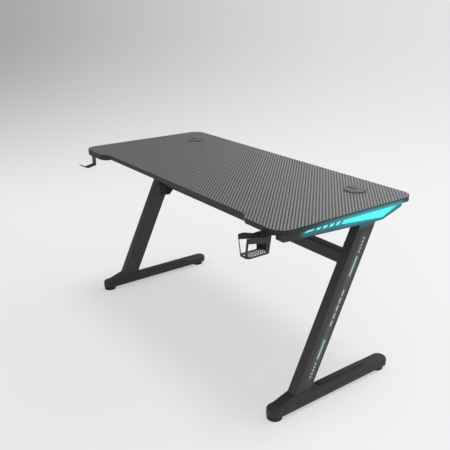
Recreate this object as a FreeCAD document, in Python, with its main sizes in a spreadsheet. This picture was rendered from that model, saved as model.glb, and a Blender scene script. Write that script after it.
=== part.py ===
import FreeCAD, Part
import math
import os
import re
import Sketcher

# Gaming desk with leaning legs, light bars under both ends of the worktop, a cup holder and a headphone hook.
# The sizes are in millimetres. X runs to the right of the person who sits at the desk, Y to the back, Z up.
# The origin is on the floor, in the middle of the whole object's plan.

doc = FreeCAD.newDocument("GamingDesk")
sheet = doc.addObject("Spreadsheet::Sheet", "Sheet")

# Driving dimensions, one table for each piece
dimensions = {
    "worktop": {
        "board_length": 1400,
        "board_depth": 650,
        "board_height": 730,
        "board_thickness": 18,
        "laminate_thickness": 0.8,
        "edge_thickness": 1.2,
        "edge_round": 0.9,
        "corner_radius": 55,
        "recess_depth": 26,
        "recess_inset": 210,
        "recess_run": 40,
        "recess_radius": 30,
    },
    "cable grommets": {
        "grommet_inset": 172,
        "grommet_back": 130,
        "grommet_hole": 76,
        "grommet_flange": 84,
        "grommet_lip": 2.6,
        "grommet_wall": 2,
        "grommet_fit": 0.2,
        "sleeve_depth": 14,
        "cap_seat": 0.9,
        "cap_thickness": 2,
        "cap_gap": 0.3,
        "cap_rim": 2,
        "skirt_depth": 6,
        "skirt_wall": 2,
        "cable_slot": 9,
        "cable_slot_past_centre": 6,
    },
    "columns": {
        "leg_inset": 57,
        "column_foot_y": -164.1,
        "column_lean_angle": 25.2,
        "column_depth": 77.5,
        "column_width": 40,
        "column_wall": 2,
        "column_round": 5,
        "column_floor": 8,
    },
    "column lights": {
        "light_width": 8,
        "light_shift": 8,
        "dot_count": 5,
        "dash_count": 5,
        "dot_pitch": 13,
        "dot_length": 8.4,
        "dots_offset": 242,
        "slot_offset": 160,
        "slot_length": 77.5,
        "dash_pitch": 29.5,
        "dash_length": 24,
        "diffuser_thickness": 3,
        "diffuser_border": 4,
        "led_width": 10,
        "led_thickness": 1.6,
    },
    "feet": {
        "foot_width": 62,
        "foot_front": 300,
        "foot_back": 310,
        "foot_clear": 15,
        "foot_height": 29,
        "foot_wall": 3,
        "foot_web": 4,
        "foot_round": 10,
        "boot_height": 22,
        "boot_wall": 1.5,
        "boot_sink": 6,
        "boot_inset": 10,
        "boot_heel": 10,
        "boot_side": 4,
        "boot_round": 6,
        "toe_round": 24,
        "groove_width": 24,
        "groove_shift": 12,
        "groove_depth": 2,
        "groove_gap": 58,
        "groove_back": 118,
        "groove_round": 4,
        "strip_thickness": 6,
        "strip_fit": 0.3,
    },
    "levelling feet": {
        "leveller_front": 30,
        "leveller_back": 45,
        "pad_diameter": 56,
        "pad_top_diameter": 52,
        "pad_rim": 10,
        "pad_height": 14,
        "pad_floor": 3,
        "stud_diameter": 8,
        "stud_rise": 36,
        "stud_gap": 0.3,
        "stud_fit": 0.05,
        "boss_diameter": 22,
        "boss_recess": 1,
    },
    "foot bolts": {
        "foot_bolt": 8,
        "foot_bolt_pitch": 30,
        "foot_bolt_head": 13,
        "foot_bolt_head_height": 5.3,
        "bolt_head_edge": 0.8,
        "bolt_fit": 0.1,
    },
    "crossbeam": {
        "beam_drop": 156.5,
        "beam_height": 47,
        "beam_depth": 40,
        "beam_wall": 1.5,
        "beam_round": 3,
        "plate_thickness": 5,
        "plate_front": 22,
        "plate_back": 25,
        "plate_below": 82,
        "plate_above": 63,
        "plate_cut": 38,
        "plate_cut_run": 20,
        "gusset_length": 60,
        "gusset_thickness": 4,
        "gusset_nose": 6,
        "beam_bolt": 6,
        "beam_bolt_head": 11,
        "beam_bolt_head_height": 4,
        "beam_bolt_tail": 4,
        "beam_bolt_edge": 10,
        "beam_bolt_pitch": 14,
    },
    "support arms": {
        "arm_inset": 90,
        "arm_height": 30,
        "arm_wall": 2.5,
        "arm_screw_inset": 35,
    },
    "light bars": {
        "bar_overhang": 10,
        "bar_nose_inset": 10,
        "bar_tail_inset": 60.5,
        "bar_wall": 2.5,
        "bar_nose": 22,
        "bar_nose_tip": 11,
        "bar_nose_run": 14,
        "bar_drop": 44.5,
        "bar_tail": 15,
        "bar_tail_run": 99.5,
        "bar_flat_run": 35,
        "bar_corner": 13,
        "bar_nose_round": 14,
        "bar_tail_round": 12,
        "bar_solid": 32,
        "window_top": 2,
        "window_drop": 15.7,
        "window_slant": 13,
        "window_edge": 31,
        "window_low_run": 100.2,
        "window_low_drop": 34,
        "window_tail": 16.2,
        "window_count": 4,
        "window_pitch": 30.4,
        "window_gap": 12,
        "window_step": 1.3,
        "window_tip": 51,
        "window_tip_slant": 30,
        "panel_margin": 1,
        "panel_border": 10,
        "panel_thickness": 2.5,
        "bar_led_height": 10,
        "bar_led_thickness": 1.6,
    },
    "screws": {
        "screw_diameter": 4,
        "screw_head": 8,
        "screw_head_height": 2.6,
        "screw_head_edge": 1,
        "screw_bite": 11,
        "screw_fit": 0.05,
        "screw_hole": 4.4,
        "bar_screw_level": 12,
        "bar_screw_pitch": 140,
        "bar_screw_bite": 6,
    },
    "cup holder": {
        "cup_inset": 63,
        "cup_tuck": 8,
        "cup_width": 57,
        "cup_length": 104,
        "cup_height": 61,
        "cup_taper": 5.5,
        "cup_round": 14,
        "cup_wall": 2,
        "cup_raise": 8,
        "cup_crest": 29,
        "cup_dip": 2.5,
        "cup_dip_back": 38,
        "cup_rim": 4,
        "cup_ring": 3.5,
        "cup_ring_height": 2,
        "cup_post": 7.5,
        "cup_side_back": 26,
        "cup_side_front_drop": 9,
        "cup_side_back_drop": 22,
        "cup_front_top": 44,
        "cup_front_low": 20,
        "cup_flange_width": 50,
        "cup_flange_length": 70,
        "cup_flange_thickness": 3,
        "cup_screw_inset": 22,
        "cup_screw_pitch": 28,
        "grid_thickness": 2,
        "grid_bar": 1.4,
        "grid_pitch": 9.4,
        "grid_ring": 2.4,
        "grid_fit": 0.3,
        "grid_row_count": 8,
        "grid_column_count": 3,
    },
    "headphone hook": {
        "hook_inset": 91,
        "hook_set": 2,
        "hook_width": 34,
        "hook_thickness": 3,
        "hook_plate": 8,
        "hook_plate_depth": 60,
        "hook_plate_stop": 15,
        "hook_drop": 46,
        "hook_reach": 38,
        "hook_dip": 8,
        "hook_tip_run": 27,
        "hook_tip_rise": 13,
        "hook_bend": 3,
        "hook_screw_inset": 18,
        "hook_screw_pitch": 26,
    },
    "light controller": {
        "case_inset": 300,
        "case_back": 120,
        "case_length": 96,
        "case_width": 52,
        "case_height": 24,
        "case_wall": 2,
        "case_round": 4,
        "ear_length": 16,
        "ear_width": 20,
        "ear_thickness": 3,
        "cover_thickness": 2,
        "circuit_thickness": 1.6,
        "circuit_drop": 5,
        "circuit_gap": 0.5,
        "cover_fit": 0.2,
        "boss_size": 8,
        "button_x": -26,
        "button_stem": 5,
        "button_stem_diameter": 5,
        "button_diameter": 10,
        "button_flange": 14,
        "button_flange_height": 2,
        "button_proud": 2.5,
        "button_gap": 0.3,
        "button_travel": 1.5,
        "switch_size": 6,
        "jack_diameter": 9,
        "jack_bore": 5.5,
        "jack_flange": 12,
        "jack_flange_height": 1.5,
        "jack_length": 11,
        "jack_level": 15,
        "jack_x": 24,
        "jack_fit": 0.05,
    },
    "cuts": {
        "overrun": 5,
    },
}

# Places that follow from them, as formulas, in a frame whose origin is on the floor under the worktop's middle
places = {
    "leg_x": "board_length / 2 - leg_inset",
    "recess_reach": "board_length / 2 - recess_inset",
    "grommet_x": "board_length / 2 - grommet_inset",
    "grommet_y": "board_depth / 2 - grommet_back",
    "board_bottom": "board_height - board_thickness",
    "foot_top": "foot_clear + foot_height",
    "column_top": "board_bottom - arm_height",
    "column_half": "column_depth / 2 / cos(column_lean_angle)",
    "light_height": "(foot_top + column_top) / 2",
    "groove_start": "column_foot_y + column_half + boot_heel + groove_gap",
    "groove_end": "foot_back - groove_back",
    "beam_level": "column_top - beam_drop",
    "beam_y": "column_foot_y + (beam_level - foot_top) * tan(column_lean_angle)",
    "beam_end": "leg_x - column_width / 2",
    "arm_reach": "board_depth / 2 - arm_inset",
    "bar_inner": "leg_x + column_width / 2",
    "bar_outer": "board_length / 2 - bar_overhang",
    "bar_front": "board_depth / 2 - bar_nose_inset",
    "bar_back": "board_depth / 2 - bar_tail_inset",
    "bar_low": "board_bottom - bar_drop",
    "bar_low_back": "bar_back - bar_tail_run",
    "bar_low_front": "bar_low_back - bar_flat_run",
    "nose_low": "board_bottom - bar_nose",
    "tail_low": "board_bottom - bar_tail",
    "tail_angle": "atan((bar_drop - bar_tail) / bar_tail_run)",
    "window_high": "board_bottom - window_top",
    "window_low": "bar_back - window_low_run",
    "window_end": "bar_back - window_tail",
    "last_window": "-window_edge - window_count * window_pitch - window_gap",
    "cup_x": "board_length / 2 - cup_inset",
    "cup_reach": "board_depth / 2 - cup_tuck + cup_length / 2",
    "hook_x": "board_length / 2 - hook_inset",
    "hook_y": "board_depth / 2 - hook_set",
    "case_x": "board_length / 2 - case_inset",
    "case_y": "board_depth / 2 - case_back",
    "cup_nose_run": "cup_front_top / 2 - cup_width / 2 + cup_round",
    "cup_nose": "cup_length / 2 - cup_round + sqrt(cup_round^2 - cup_nose_run^2)",
    "centre_y": "(cup_length / 2 + cup_nose - cup_tuck) / 2",
}

cells = {alias: number for table in dimensions.values() for alias, number in table.items()}
for row, (alias, number) in enumerate(cells.items(), 1):
    sheet.set("A%d" % row, alias)
    sheet.set("B%d" % row, str(number))
    sheet.setAlias("B%d" % row, alias)
doc.recompute()

pieces = []


# A formula with each place in it written out in driving dimensions
def spelled(formula):
    def written(word):
        name = word.group()
        return "(%s)" % spelled(places[name]) if name in places else name

    return re.sub(r"[a-z_]+", written, formula)


def bound(formula):
    return re.sub(r"[a-z_]+", lambda word: "Sheet." * (word.group() in cells) + word.group(), spelled(formula))


def size(formula):
    return float(sheet.evalExpression(spelled(formula)))


def lean_at(height):
    return "(column_foot_y + (%s - foot_top) * tan(column_lean_angle))" % height


def place(piece, x="0", y="0", z="0"):
    for axis, formula in (("x", x), ("y", "centre_y + " + y), ("z", z)):
        piece.setExpression("Placement.Base." + axis, bound(formula))


def new_body(label, x="0", y="0", z="0", lean=0):
    body = doc.addObject("PartDesign::Body", label)
    body.Label = label
    body.Placement.Rotation = FreeCAD.Rotation(FreeCAD.Vector(1, 0, 0), -lean)
    place(body, x, y, z)
    pieces.append(body)
    return body


def origin_plane(body, role):
    return next(plane for plane in body.Origin.OriginFeatures if plane.Role == role)


def new_sketch(body, name, role, lift="0"):
    sketch = body.newObject("Sketcher::SketchObject", name)
    sketch.AttachmentSupport = (origin_plane(body, role), [""])
    sketch.MapMode = "FlatFace"
    sketch.setExpression("AttachmentOffset.Base.z", bound(lift))
    return sketch


def constrain(sketch, rules):
    first = sketch.ConstraintCount
    sketch.addConstraint([rule for rule, formula in rules])
    for index, (rule, formula) in enumerate(rules, first):
        if formula:
            sketch.setExpression("Constraints[%d]" % index, bound(formula))


def at_point(geometry, vertex, x, y):
    return [(Sketcher.Constraint("DistanceX", -1, 1, geometry, vertex, size(x)), x),
            (Sketcher.Constraint("DistanceY", -1, 1, geometry, vertex, size(y)), y)]


# A closed outline of straight lines through the corners, each (x, y) or (x, y, radius) where it is rounded
def add_outline(sketch, corners):
    points = [FreeCAD.Vector(size(corner[0]), size(corner[1]), 0) for corner in corners]
    starts, ends, rounds = [], [], []
    for index, corner in enumerate(corners):
        point = points[index]
        back = (points[index - 1] - point).normalize()
        ahead = (points[(index + 1) % len(points)] - point).normalize()
        if len(corner) == 2:
            starts.append(point)
            ends.append(point)
            rounds.append(None)
            continue
        radius = size(corner[2])
        half = back.getAngle(ahead) / 2
        centre = point + (back + ahead).normalize() * (radius / math.sin(half))
        starts.append(point + back * (radius / math.tan(half)))
        ends.append(point + ahead * (radius / math.tan(half)))
        rounds.append(Part.Circle(centre, FreeCAD.Vector(0, 0, 1), radius))
    lines = [sketch.addGeometry(Part.LineSegment(ends[index], starts[(index + 1) % len(points)]))
             for index in range(len(points))]
    rules = []
    for index, corner in enumerate(corners):
        before, after = lines[index - 1], lines[index]
        if rounds[index] is None:
            rules.append((Sketcher.Constraint("Coincident", before, 2, after, 1), None))
            rules += at_point(after, 1, corner[0], corner[1])
            continue
        turn = (points[index] - starts[index]).cross(ends[index] - points[index]).z
        first, last = (1, 2) if turn > 0 else (2, 1)
        sweep = (starts[index], ends[index]) if turn > 0 else (ends[index], starts[index])
        arc = sketch.addGeometry(Part.ArcOfCircle(rounds[index], *map(rounds[index].parameter, sweep)))
        tip = sketch.addGeometry(Part.Point(points[index]), True)
        rules += at_point(tip, 1, corner[0], corner[1])
        rules += [(Sketcher.Constraint("PointOnObject", tip, 1, before), None),
                  (Sketcher.Constraint("PointOnObject", tip, 1, after), None),
                  (Sketcher.Constraint("Tangent", before, 2, arc, first), None),
                  (Sketcher.Constraint("Tangent", arc, last, after, 1), None),
                  (Sketcher.Constraint("Radius", arc, size(corner[2])), corner[2])]
    constrain(sketch, rules)


def add_rectangle(sketch, left, right, low, high, radius=None):
    corners = [(left, low), (right, low), (right, high), (left, high)]
    add_outline(sketch, [corner + (radius,) if radius else corner for corner in corners])


def add_circle(sketch, x, y, diameter):
    centre = FreeCAD.Vector(size(x), size(y), 0)
    circle = sketch.addGeometry(Part.Circle(centre, FreeCAD.Vector(0, 0, 1), size(diameter) / 2))
    rules = at_point(circle, 3, x, y)
    rules.append((Sketcher.Constraint("Diameter", circle, size(diameter)), diameter))
    constrain(sketch, rules)


# A slot with two half-round ends, from low to high along the sketch's Y
def add_slot(sketch, x, low, high, width):
    radius = "(%s) / 2" % width
    bottom, top = "(%s) + %s" % (low, radius), "(%s) - %s" % (high, radius)
    axis = FreeCAD.Vector(0, 0, 1)
    middle, reach = size(x), size(radius)
    ends = [FreeCAD.Vector(middle, size(end), 0) for end in (bottom, top)]
    side = FreeCAD.Vector(reach, 0, 0)
    lower = sketch.addGeometry(Part.ArcOfCircle(Part.Circle(ends[0], axis, reach), math.pi, 2 * math.pi))
    right = sketch.addGeometry(Part.LineSegment(ends[0] + side, ends[1] + side))
    upper = sketch.addGeometry(Part.ArcOfCircle(Part.Circle(ends[1], axis, reach), 0, math.pi))
    left = sketch.addGeometry(Part.LineSegment(ends[1] - side, ends[0] - side))
    rules = [(Sketcher.Constraint("Tangent", lower, 2, right, 1), None),
             (Sketcher.Constraint("Tangent", right, 2, upper, 1), None),
             (Sketcher.Constraint("Tangent", upper, 2, left, 1), None),
             (Sketcher.Constraint("Tangent", left, 2, lower, 1), None),
             (Sketcher.Constraint("Equal", lower, upper), None),
             (Sketcher.Constraint("Radius", lower, reach), radius)]
    rules += at_point(lower, 3, x, bottom) + at_point(upper, 3, x, top)
    constrain(sketch, rules)


def add_feature(body, kind, sketch, length, both=False, reverse=False):
    feature = body.newObject("PartDesign::" + kind, sketch.Name + kind)
    feature.Profile = sketch
    feature.setExpression("Length", bound(length))
    if both:
        feature.SideType = "Symmetric"
    feature.Reversed = reverse
    body.Tip = feature
    doc.recompute()
    return feature


def pad(body, sketch, length, both=False, reverse=False):
    return add_feature(body, "Pad", sketch, length, both, reverse)


# A cut has to take something away: one that points away from the solid would pass in silence
def pocket(body, sketch, length, both=False, reverse=False):
    before = body.Shape.Volume
    feature = add_feature(body, "Pocket", sketch, length, both, reverse)
    if body.Shape.Volume >= before:
        raise RuntimeError("%s cuts nothing from %s" % (sketch.Name, body.Label))
    return feature


def revolve(body, sketch, kind="Revolution", angle="360", both=False, axis="V_Axis"):
    feature = body.newObject("PartDesign::" + kind, sketch.Name + kind)
    feature.Profile = sketch
    feature.ReferenceAxis = (sketch, [axis])
    feature.setExpression("Angle", bound(angle))
    feature.Midplane = both
    body.Tip = feature
    doc.recompute()
    return feature


def round_edges(body, radius, chosen):
    base = body.Tip
    names = ["Edge%d" % number for number, edge in enumerate(base.Shape.Edges, 1) if chosen(edge)]
    fillet = body.newObject("PartDesign::Fillet", body.Label + "_round")
    fillet.Base = (base, names)
    fillet.setExpression("Radius", bound(radius))
    body.Tip = fillet
    doc.recompute()
    return fillet


# Fasteners repeated at several spots, as one group of separate solids. Each set is (master, spots).
def add_group(label, sets):
    copies = []
    for master, spots in sets:
        for x, y, z in spots:
            copies.append(master.Shape.translated(FreeCAD.Vector(size(x), size("centre_y + " + y), size(z))))
    group = doc.addObject("Part::Feature", label)
    group.Label = label
    group.Shape = Part.makeCompound(copies)
    pieces.append(group)


# A fastener at the origin, with its head below zero and its shank above, along Z, or across along +X or -X
def make_fastener(name, head, head_height, edge, shank, length, across=0):
    body = doc.addObject("PartDesign::Body", name)
    sketch = new_sketch(body, name + "_section", "XZ_Plane")
    low = "-(%s)" % head_height
    section = [("0", low), ("%s / 2 - %s" % (head, edge), low), ("%s / 2" % head, "%s + %s" % (low, edge)),
               ("%s / 2" % head, "0"), ("%s / 2" % shank, "0"), ("%s / 2" % shank, length), ("0", length)]
    if across:
        section = [("%d * (%s)" % (across, height), radius) for radius, height in section]
    add_outline(sketch, section)
    revolve(body, sketch, axis="H_Axis" if across else "V_Axis")
    return body


# Worktop

def board_corners(inset):
    slide = "%s * tan(atan(recess_depth / recess_run) / 2)" % inset
    side, deep = "(board_length / 2 - %s)" % inset, "(board_depth / 2 - %s)" % inset
    near, far = "(recess_reach + %s)" % slide, "(recess_reach + recess_run + %s)" % slide
    front = "-%s" % deep
    corner, out, into = "corner_radius - %s" % inset, "recess_radius - %s" % inset, "recess_radius + %s" % inset
    return [("-" + side, front, corner), ("-" + far, front, out),
            ("-" + near, "recess_depth - " + deep, into), (near, "recess_depth - " + deep, into),
            (far, front, out), (side, front, corner), (side, deep, corner), ("-" + side, deep, corner)]


cup_screws = [("cup_x + %d * cup_screw_pitch / 2" % hand, "cup_screw_inset - board_depth / 2")
              for hand in (-1, 1)]
hook_screws = [("-hook_x", "hook_screw_inset + %d * hook_screw_pitch - hook_y" % step) for step in (0, 1)]
case_screws = [("case_x + %d * (case_length + ear_length) / 2" % hand, "case_y") for hand in (-1, 1)]
arm_places = ["arm_screw_inset - arm_reach", "0", "arm_reach - arm_screw_inset"]
arm_screws = [("%d * leg_x" % hand, y) for hand in (-1, 1) for y in arm_places]


def make_board(label, lift, thickness, hole):
    body = new_body(label)
    sketch = new_sketch(body, label + "_plan", "XY_Plane", lift)
    add_outline(sketch, board_corners("edge_thickness"))
    for hand in (-1, 1):
        add_circle(sketch, "%d * grommet_x" % hand, "grommet_y", hole)
    pad(body, sketch, thickness)
    return body


board = make_board("desktop_board", "board_bottom", "board_thickness - laminate_thickness", "grommet_hole")
pilots = new_sketch(board, "pilot_holes", "XY_Plane", "board_bottom")
for x, y in arm_screws + cup_screws + hook_screws + case_screws:
    add_circle(pilots, x, y, "screw_diameter + 2 * screw_fit")
pocket(board, pilots, "screw_bite + screw_fit", reverse=True)
make_board("carbon_laminate", "board_height - laminate_thickness", "laminate_thickness",
           "grommet_flange + 2 * grommet_fit")

band = new_body("edge_band")
band_plan = new_sketch(band, "edge_band_plan", "XY_Plane", "board_bottom")
add_outline(band_plan, board_corners("0"))
add_outline(band_plan, board_corners("edge_thickness"))
pad(band, band_plan, "board_thickness")
top_face = max(band.Tip.Shape.Faces, key=lambda face: face.CenterOfMass.z)
round_edges(band, "edge_round", lambda edge: any(edge.isSame(rim) for rim in top_face.OuterWire.Edges))


# Cable grommets: a sleeve in the board, with its flange let into the laminate, and a cap that turns in it

def make_grommet(side, hand):
    x = "%d * grommet_x" % hand
    outer = "(grommet_hole / 2 - grommet_fit)"
    inner = "(grommet_hole / 2 - grommet_fit - grommet_wall)"
    recess = "(grommet_flange / 2 - cap_rim)"
    liner = new_body("grommet_liner_" + side, x, "grommet_y", "board_height")
    section = new_sketch(liner, "liner_section_" + side, "XZ_Plane")
    add_outline(section, [(inner, "-sleeve_depth"), (outer, "-sleeve_depth"), (outer, "-laminate_thickness"),
                          ("grommet_flange / 2", "-laminate_thickness"), ("grommet_flange / 2", "grommet_lip"),
                          (recess, "grommet_lip"), (recess, "cap_seat"), (inner, "cap_seat")])
    revolve(liner, section)
    cap = new_body("grommet_cap_" + side, x, "grommet_y", "board_height")
    rim, skirt = recess + " - cap_gap", "(%s - cap_gap)" % inner
    low, top = "cap_seat + cap_gap", "cap_seat + cap_gap + cap_thickness"
    section = new_sketch(cap, "cap_section_" + side, "XZ_Plane")
    skirt_in, skirt_low = skirt + " - skirt_wall", low + " - skirt_depth"
    add_outline(section, [("0", low), (skirt_in, low), (skirt_in, skirt_low), (skirt, skirt_low), (skirt, low),
                          (rim, low), (rim, top), ("0", top)])
    revolve(cap, section)
    slot = new_sketch(cap, "cable_slot_" + side, "XY_Plane", low + " - skirt_depth - overrun")
    add_rectangle(slot, "-grommet_flange", "cable_slot_past_centre", "-cable_slot / 2", "cable_slot / 2")
    pocket(cap, slot, "skirt_depth + cap_thickness + 2 * overrun", reverse=True)


# Leaning columns: a rectangular tube in its own straight frame, with level ends and slots for the lights

def column_body(label, hand):
    return new_body(label, "%d * leg_x" % hand, "column_foot_y", "foot_top", size("column_lean_angle"))


# Height along the leaning axis at which a level plane meets the line at the given depth
def along(level, depth):
    return "((%s - foot_top) / cos(column_lean_angle) + %s * tan(column_lean_angle))" % (level, depth)


def leaning_outline(depth, low, high):
    back, front = "(%s) / 2" % depth, "-(%s) / 2" % depth
    return [(front, along(low, front)), (back, along(low, back)),
            (back, along(high, back)), (front, along(high, front))]


def on_column(y, z):
    out, rise = "(%s - column_foot_y)" % y, "(%s - foot_top)" % z
    across = "%s * cos(column_lean_angle) - %s * sin(column_lean_angle)" % (out, rise)
    up = "%s * sin(column_lean_angle) + %s * cos(column_lean_angle)" % (out, rise)
    return across, up


beam_bolts = [("beam_y - plate_front + beam_bolt_edge + %d * beam_bolt_pitch" % step,
               "beam_level - plate_below + beam_bolt_edge") for step in (0, 1)]
beam_bolts += [("beam_y + plate_back - beam_bolt_edge - %d * beam_bolt_pitch" % step,
                "beam_level + plate_above - beam_bolt_edge") for step in (0, 1)]


def add_light(sketch, middle, length):
    low, high = ("%s %s %s / 2" % (middle, sign, length) for sign in "-+")
    add_slot(sketch, "light_shift", low, high, "light_width")


# The light openings of one column: dots, a slot and a row of dashes, the same above and below the middle
def add_lights(sketch):
    middle = along("light_height", "0")
    for end in (-1, 1):
        slot = "%s + %d * slot_offset" % (middle, end)
        add_light(sketch, slot, "slot_length")
        for step in range(int(size("dot_count"))):
            dot = "%s + %d * dots_offset + (%d - (dot_count - 1) / 2) * dot_pitch" % (middle, end, step)
            add_light(sketch, dot, "dot_length")
    for step in range(int(size("dash_count"))):
        dash = "%s + (%d - (dash_count - 1) / 2) * dash_pitch" % (middle, step)
        add_light(sketch, dash, "dash_length")


def runs_along(direction):
    return abs(direction.z) > abs(direction.x) + abs(direction.y)


def make_column(side, hand):
    column = column_body("column_" + side, hand)
    outline = new_sketch(column, "column_outline_" + side, "YZ_Plane")
    add_outline(outline, leaning_outline("column_depth", "foot_top", "column_top"))
    pad(column, outline, "column_width", both=True)
    round_edges(column, "column_round", lambda edge: runs_along(edge.tangentAt(edge.FirstParameter)))
    hollow = new_sketch(column, "column_hollow_" + side, "YZ_Plane")
    add_outline(hollow, leaning_outline("column_depth - 2 * column_wall", "foot_top + column_floor",
                                        "column_top + overrun"))
    pocket(column, hollow, "column_width - 2 * column_wall", both=True)
    lights = new_sketch(column, "column_lights_" + side, "YZ_Plane", "%d * column_width / 2" % hand)
    add_lights(lights)
    pocket(column, lights, "column_wall", reverse=hand < 0)
    holes = new_sketch(column, "beam_bolt_holes_" + side, "YZ_Plane", "%d * column_width / 2" % -hand)
    for y, z in beam_bolts:
        add_circle(holes, *on_column(y, z), "beam_bolt + 2 * bolt_fit")
    pocket(column, holes, "column_wall", reverse=hand > 0)
    threads = column.newObject("Sketcher::SketchObject", "foot_bolt_holes_" + side)
    threads.AttachmentSupport = (origin_plane(column, "XY_Plane"), [""])
    threads.MapMode = "FlatFace"
    level = FreeCAD.Rotation(FreeCAD.Vector(1, 0, 0), size("column_lean_angle"))
    threads.AttachmentOffset = FreeCAD.Placement(FreeCAD.Vector(), level)
    for step in (-1, 1):
        add_circle(threads, "0", "%d * foot_bolt_pitch / 2" % step, "foot_bolt + 2 * bolt_fit")
    pocket(column, threads, "column_floor", reverse=True)


def make_column_lights(side, hand):
    shelf = "%d * (column_width / 2 - column_wall)" % hand
    half = "(dots_offset + (dot_count - 1) / 2 * dot_pitch + dot_length / 2 + diffuser_border)"
    middle = along("light_height", "0")
    diffuser = column_body("column_diffuser_" + side, hand)
    strip = new_sketch(diffuser, "diffuser_strip_" + side, "YZ_Plane", shelf)
    reach = "(light_width / 2 + diffuser_border)"
    add_rectangle(strip, "light_shift - " + reach, "light_shift + " + reach, "%s - %s" % (middle, half),
                  "%s + %s" % (middle, half))
    pad(diffuser, strip, "diffuser_thickness", reverse=hand > 0)
    lands = new_sketch(diffuser, "diffuser_lands_" + side, "YZ_Plane", shelf)
    add_lights(lands)
    pad(diffuser, lands, "column_wall", reverse=hand < 0)
    leds = column_body("column_led_strip_" + side, hand)
    back = "%d * (column_width / 2 - column_wall - diffuser_thickness)" % hand
    tape = new_sketch(leds, "led_tape_" + side, "YZ_Plane", back)
    add_rectangle(tape, "light_shift - led_width / 2", "light_shift + led_width / 2",
                  "%s - %s" % (middle, half), "%s + %s" % (middle, half))
    pad(leds, tape, "led_thickness", reverse=hand > 0)


# Feet: a hollow round-ended bar with a boot that takes the column, a grooved top and bosses for the levellers

def make_foot(side, hand):
    foot = new_body("foot_" + side, "%d * leg_x" % hand)
    plan = new_sketch(foot, "foot_plan_" + side, "XY_Plane", "foot_clear")
    add_slot(plan, "0", "-foot_front", "foot_back", "foot_width")
    pad(foot, plan, "foot_height")
    shoulder = size("foot_top - foot_round")
    round_edges(foot, "foot_round", lambda edge: edge.BoundBox.ZMin > shoulder)
    boot_top = "foot_top + boot_height"
    base = new_sketch(foot, "boot_base_" + side, "XY_Plane", "foot_top - boot_sink")
    reach = "(foot_width / 2 - boot_side)"
    add_rectangle(base, "-" + reach, reach, "boot_inset - foot_front",
                  "column_foot_y + column_half + boot_heel", "toe_round")
    collar = new_sketch(foot, "boot_collar_" + side, "XY_Plane", boot_top)
    reach = "(column_width / 2 + boot_wall)"
    add_rectangle(collar, "-" + reach, reach, lean_at(boot_top) + " - column_half - boot_wall",
                  lean_at(boot_top) + " + column_half + boot_wall", "boot_round")
    boot = foot.newObject("PartDesign::AdditiveLoft", "boot_" + side)
    boot.Profile = base
    boot.Sections = [collar]
    boot.Ruled = True
    foot.Tip = boot
    doc.recompute()
    socket = new_sketch(foot, "column_socket_" + side, "YZ_Plane")
    high = boot_top + " + overrun"
    add_outline(socket, [("column_foot_y - column_half", "foot_top"),
                         ("column_foot_y + column_half", "foot_top"),
                         (lean_at(high) + " + column_half", high), (lean_at(high) + " - column_half", high)])
    pocket(foot, socket, "column_width", both=True)
    hollow = new_sketch(foot, "foot_hollow_" + side, "XY_Plane", "foot_clear")
    add_slot(hollow, "0", "foot_wall - foot_front", "foot_back - foot_wall", "foot_width - 2 * foot_wall")
    pocket(foot, hollow, "foot_height - foot_web", reverse=True)
    rib = new_sketch(foot, "groove_rib_" + side, "XY_Plane", "foot_top - foot_web")
    inner, outer = ("(%d * groove_width / 2 - %d * groove_shift)" % (end, hand) for end in (-1, 1))
    add_rectangle(rib, inner + " - foot_wall", outer + " + foot_wall", "groove_start - foot_wall",
                  "groove_end + foot_wall")
    pad(foot, rib, "groove_depth", reverse=True)
    groove = new_sketch(foot, "foot_groove_" + side, "XY_Plane", "foot_top")
    add_rectangle(groove, inner, outer, "groove_start", "groove_end", "groove_round")
    pocket(foot, groove, "groove_depth")
    bosses = new_sketch(foot, "leveller_bosses_" + side, "XY_Plane", "foot_top - foot_web")
    for y in leveller_places.values():
        add_circle(bosses, "0", y, "boss_diameter")
    pad(foot, bosses, "foot_height - foot_web - boss_recess", reverse=True)
    holes = new_sketch(foot, "leveller_holes_" + side, "XY_Plane", "foot_clear + boss_recess")
    for y in leveller_places.values():
        add_circle(holes, "0", y, "stud_diameter + 2 * stud_gap")
    pocket(foot, holes, "foot_height - foot_web - boss_recess", reverse=True)
    bolts = new_sketch(foot, "foot_bolt_clearance_" + side, "XY_Plane", "foot_top - foot_web")
    for step in (-1, 1):
        add_circle(bolts, "0", "column_foot_y + %d * foot_bolt_pitch / 2" % step, "foot_bolt + 2 * bolt_fit")
    pocket(foot, bolts, "foot_web", reverse=True)
    strip = new_body("foot_strip_" + side, "%d * leg_x" % hand)
    inlay = new_sketch(strip, "foot_inlay_" + side, "XY_Plane", "foot_top - groove_depth")
    add_rectangle(inlay, inner + " + strip_fit", outer + " - strip_fit", "groove_start + strip_fit",
                  "groove_end - strip_fit", "groove_round - strip_fit")
    pad(strip, inlay, "strip_thickness")


# Levelling feet: a plastic pad on a steel stud, which turns up and down in the foot's boss

leveller_places = {"front": "leveller_front - foot_front", "back": "foot_back - leveller_back"}


def make_levellers(side, hand):
    for end, y in leveller_places.items():
        sole = new_body("leveller_pad_%s_%s" % (end, side), "%d * leg_x" % hand, y)
        section = new_sketch(sole, "pad_section_%s_%s" % (end, side), "XZ_Plane")
        hole = "stud_diameter / 2 + stud_fit"
        add_outline(section, [("0", "0"), ("pad_diameter / 2", "0"), ("pad_diameter / 2", "pad_rim"),
                              ("pad_top_diameter / 2", "pad_height"), (hole, "pad_height"),
                              (hole, "pad_floor"), ("0", "pad_floor")])
        revolve(sole, section)
        stud = new_body("leveller_stud_%s_%s" % (end, side), "%d * leg_x" % hand, y)
        bar = new_sketch(stud, "stud_bar_%s_%s" % (end, side), "XY_Plane", "pad_floor")
        add_circle(bar, "0", "0", "stud_diameter")
        pad(stud, bar, "stud_rise")


# Crossbeam: a flat-sided tube with a welded plate and gusset at each end, bolted to the columns

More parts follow.
